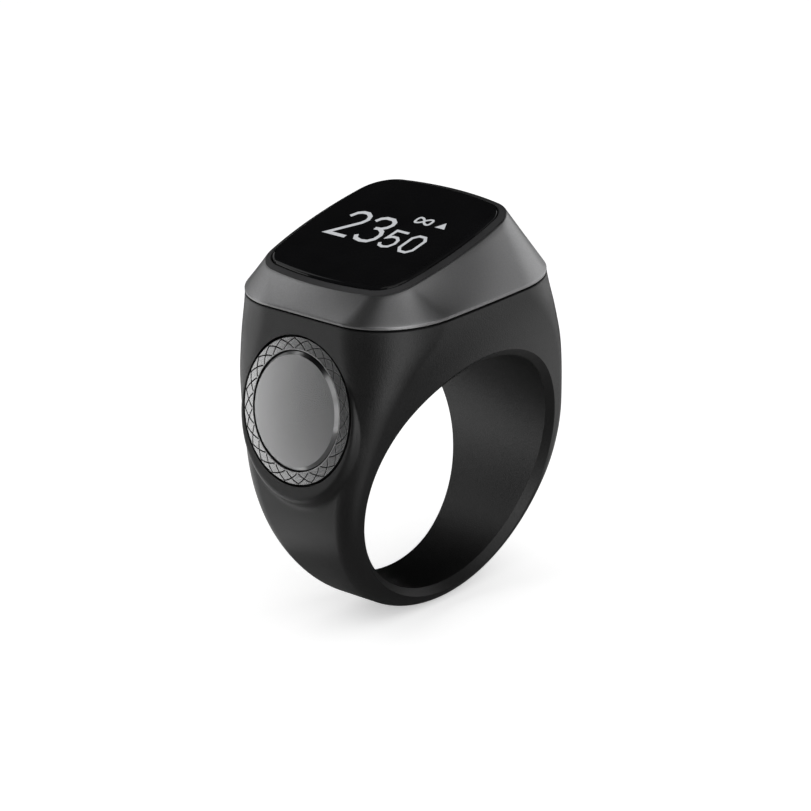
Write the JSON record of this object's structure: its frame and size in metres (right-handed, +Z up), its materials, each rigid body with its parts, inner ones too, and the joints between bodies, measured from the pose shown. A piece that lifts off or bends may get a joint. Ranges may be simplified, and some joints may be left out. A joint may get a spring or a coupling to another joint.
{
  "type": "digital tasbih counter",
  "caption": "Ring-shaped digital prayer counter with a tilted display in a sloping bezel and a round side push-button in a patterned trim ring.",
  "frame": {"origin": "centre of the finger bore", "axes": "+Z up through the display, +Y along the finger bore, the push-button faces -X"},
  "size_m": [0.025, 0.0202, 0.0323],
  "materials": {
    "ring_body": "fine matt black moulding",
    "bezel": "dark grey satin",
    "bezel_gasket": "black silicone",
    "cover_lens": "black glossy cover glass",
    "lens_adhesive": "black adhesive film",
    "display_panel": "dark display glass",
    "display_flex": "amber polyimide",
    "flex_connector": "ivory moulding",
    "main_board": "green solder mask",
    "processor_chip": "black epoxy",
    "power_chip": "black epoxy",
    "clock_crystal": "metal can",
    "chip_antenna": "white ceramic",
    "board_capacitors": "tan ceramic",
    "board_screws": "bright steel",
    "battery": "foil pouch",
    "battery_pad": "black foam tape",
    "battery_tabs": "nickel strip",
    "vibration_motor": "plated steel",
    "motor_pad": "black foam tape",
    "charging_contacts": "gold plated",
    "contact_seals": "black silicone",
    "charging_magnets": "nickel plated",
    "button_cap": "brushed face and polished bevel",
    "button_plunger": "black moulding",
    "button_seal": "black silicone",
    "button_trim": "satin with a cut pattern",
    "switch_housing": "black moulding",
    "switch_actuator": "red-brown moulding",
    "switch_flex": "amber polyimide"
  },
  "bodies": {
    "ring": {"ring_body": "ring_body", "bezel": "bezel", "bezel_gasket": "bezel_gasket", "cover_lens": "cover_lens", "lens_adhesive": "lens_adhesive", "display_panel": "display_panel", "display_flex": "display_flex", "flex_connector": "flex_connector", "main_board": "main_board", "processor_chip": "processor_chip", "power_chip": "power_chip", "clock_crystal": "clock_crystal", "chip_antenna": "chip_antenna", "board_capacitors": "board_capacitors", "board_screws": "board_screws", "battery": "battery", "battery_pad": "battery_pad", "battery_tabs": "battery_tabs", "vibration_motor": "vibration_motor", "motor_pad": "motor_pad", "charging_contacts": "charging_contacts", "contact_seals": "contact_seals", "charging_magnets": "charging_magnets", "button_trim": "button_trim", "switch_housing": "switch_housing", "switch_flex": "switch_flex"},
    "button": {"button_cap": "button_cap", "button_plunger": "button_plunger", "button_seal": "button_seal"},
    "actuator": {"switch_actuator": "switch_actuator"}
  },
  "joints": [
    {"name": "button_press", "type": "slide", "parent": "ring", "child": "button", "axis": [0.9751, 0, -0.2215], "range_m": [0, 0.0003], "stiffness_N_per_m": 4000, "springref_m": -0.0001},
    {"name": "switch_press", "type": "slide", "parent": "ring", "child": "actuator", "axis": [0.9751, 0, -0.2215], "range_m": [0, 0.0003]}
  ],
  "couplings": [
    {"joint": "switch_press", "follows": "button_press", "ratio": 1}
  ]
}
